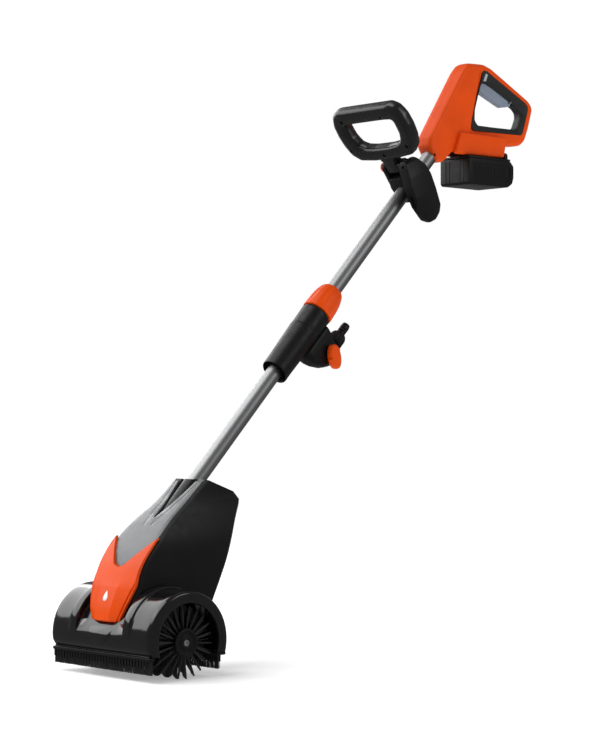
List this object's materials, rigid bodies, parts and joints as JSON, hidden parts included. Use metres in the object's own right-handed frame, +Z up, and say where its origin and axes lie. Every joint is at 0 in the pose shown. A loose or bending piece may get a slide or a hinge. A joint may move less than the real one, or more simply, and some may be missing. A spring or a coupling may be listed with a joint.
{
  "type": "cordless patio cleaner",
  "caption": "Cordless roller-brush patio cleaner: hooded spinning brush on a telescopic pole, with auxiliary loop, trigger handle, hose inlet with tap and slide-on battery.",
  "frame": {"origin": "on the floor plane under the middle of the whole machine", "axes": "+X along the roller to the machine's right, +Y back towards the user, +Z up"},
  "size_m": [0.272, 1.0734, 1.121],
  "materials": {
    "orange_plastic": "satin moulded plastic",
    "black_gloss_plastic": "gloss",
    "black_plastic": "satin",
    "grey_panel": "metallic grey satin",
    "grey_trigger": "satin",
    "aluminium_tube": "satin",
    "steel": "machined",
    "brass": "machined",
    "bristle": "nylon filament",
    "rubber": "soft touch",
    "badge_white": "printed",
    "board_green": "circuit board",
    "battery_cell": "shrink sleeve"
  },
  "bodies": {
    "pole_handle": {"handle_left": "orange_plastic", "handle_right": "orange_plastic", "grip_liner": "rubber", "trigger_pin": "steel", "switch_module": "black_plastic", "control_board": "board_green", "power_lead": "rubber", "upper_tube": "aluminium_tube"},
    "trigger": {"trigger": "grey_trigger"},
    "lock_off": {"lock_off_button": "grey_trigger"},
    "battery": {"battery_case": "black_plastic", "battery_lid": "black_plastic", "battery_cells": "battery_cell"},
    "battery_latch": {"battery_latch": "black_plastic"},
    "aux_clamp": {"clamp_upper": "black_plastic", "clamp_lower": "black_plastic", "pivot_bolt": "steel", "bolt_cap": "orange_plastic"},
    "aux_loop": {"loop_front": "black_gloss_plastic", "loop_rear": "black_gloss_plastic"},
    "aux_lever": {"cam_lever": "black_plastic", "lever_pin": "steel"},
    "brush_head": {"lower_tube": "aluminium_tube", "guide_spigot": "steel", "coupling_body": "black_plastic", "collet": "black_plastic", "valve_housing": "black_plastic", "hose_connector": "black_plastic", "connector_ring": "black_plastic", "hood_shell": "black_gloss_plastic", "front_strip_holder": "black_plastic", "front_strip_bristles": "bristle", "rear_strip_holder": "black_plastic", "rear_strip_bristles": "bristle", "tower_left": "black_plastic", "tower_right": "black_plastic", "front_panel": "grey_panel", "orange_cover": "orange_plastic", "badge": "badge_white", "tube_socket": "black_plastic", "motor_can": "steel", "gearcase_left": "black_plastic", "gearcase_right": "black_plastic", "bearing_left": "steel", "bearing_right": "steel", "spray_bar": "black_plastic", "water_hose": "rubber"},
    "collar_nut": {"collar_nut": "orange_plastic"},
    "tap": {"valve_plug": "brass", "valve_lever": "orange_plastic"},
    "motor_rotor": {"motor_shaft": "steel"},
    "roller": {"ring_gear": "steel", "drive_shaft": "steel", "brush_core_left": "black_plastic", "brush_core_right": "black_plastic", "brush_bristles_left": "bristle", "brush_bristles_right": "bristle", "end_cap_left": "black_plastic", "end_cap_right": "black_plastic"}
  },
  "joints": [
    {"name": "pole_extension", "type": "slide", "parent": "pole_handle", "child": "brush_head", "axis": [0, -0.6896, -0.7242], "range_m": [0, 0.05]},
    {"name": "collar_nut_turn", "type": "hinge", "parent": "brush_head", "child": "collar_nut", "pos_m": [0, -0.03843, 0.62046], "axis": [0, 0.6896, 0.7242], "range_deg": [0, 90]},
    {"name": "tap_turn", "type": "hinge", "parent": "brush_head", "child": "tap", "pos_m": [0, -0.02129, 0.54131], "axis": [1, 0, 0], "range_deg": [0, 90]},
    {"name": "motor_spin", "type": "hinge", "parent": "brush_head", "child": "motor_rotor", "pos_m": [0, -0.36456, 0.1806], "axis": [0, 0.5736, 0.8192], "continuous": true},
    {"name": "roller_spin", "type": "hinge", "parent": "brush_head", "child": "roller", "pos_m": [0, -0.4483, 0.061], "axis": [1, 0, 0], "continuous": true},
    {"name": "aux_clamp_slide", "type": "slide", "parent": "pole_handle", "child": "aux_clamp", "axis": [0, 0.6896, 0.7242], "range_m": [-0.2, 0.005]},
    {"name": "aux_handle_tilt", "type": "hinge", "parent": "aux_clamp", "child": "aux_loop", "pos_m": [0, 0.1637, 0.905], "axis": [1, 0, 0], "range_deg": [-25, 25]},
    {"name": "aux_lever_open", "type": "hinge", "parent": "aux_clamp", "child": "aux_lever", "pos_m": [0.0365, 0.1637, 0.905], "axis": [0, -0.9093, -0.4161], "range_deg": [0, 85]},
    {"name": "trigger_pull", "type": "hinge", "parent": "pole_handle", "child": "trigger", "pos_m": [0, 0.4737, 1.053], "axis": [-1, 0, 0], "range_deg": [0, 6], "stiffness_Nm_per_rad": 2, "springref_deg": -5.73},
    {"name": "lock_off_press", "type": "slide", "parent": "pole_handle", "child": "lock_off", "axis": [-1, 0, 0], "range_m": [0, 0.002], "stiffness_N_per_m": 500, "springref_m": -0.001},
    {"name": "battery_slide", "type": "slide", "parent": "pole_handle", "child": "battery", "axis": [0, 1, 0], "range_m": [0, 0.1]},
    {"name": "battery_latch_press", "type": "slide", "parent": "battery", "child": "battery_latch", "axis": [0, -1, 0], "range_m": [0, 0.002], "stiffness_N_per_m": 500, "springref_m": -0.001}
  ],
  "couplings": [
    {"joint": "motor_spin", "follows": "roller_spin", "ratio": -3.3333}
  ]
}
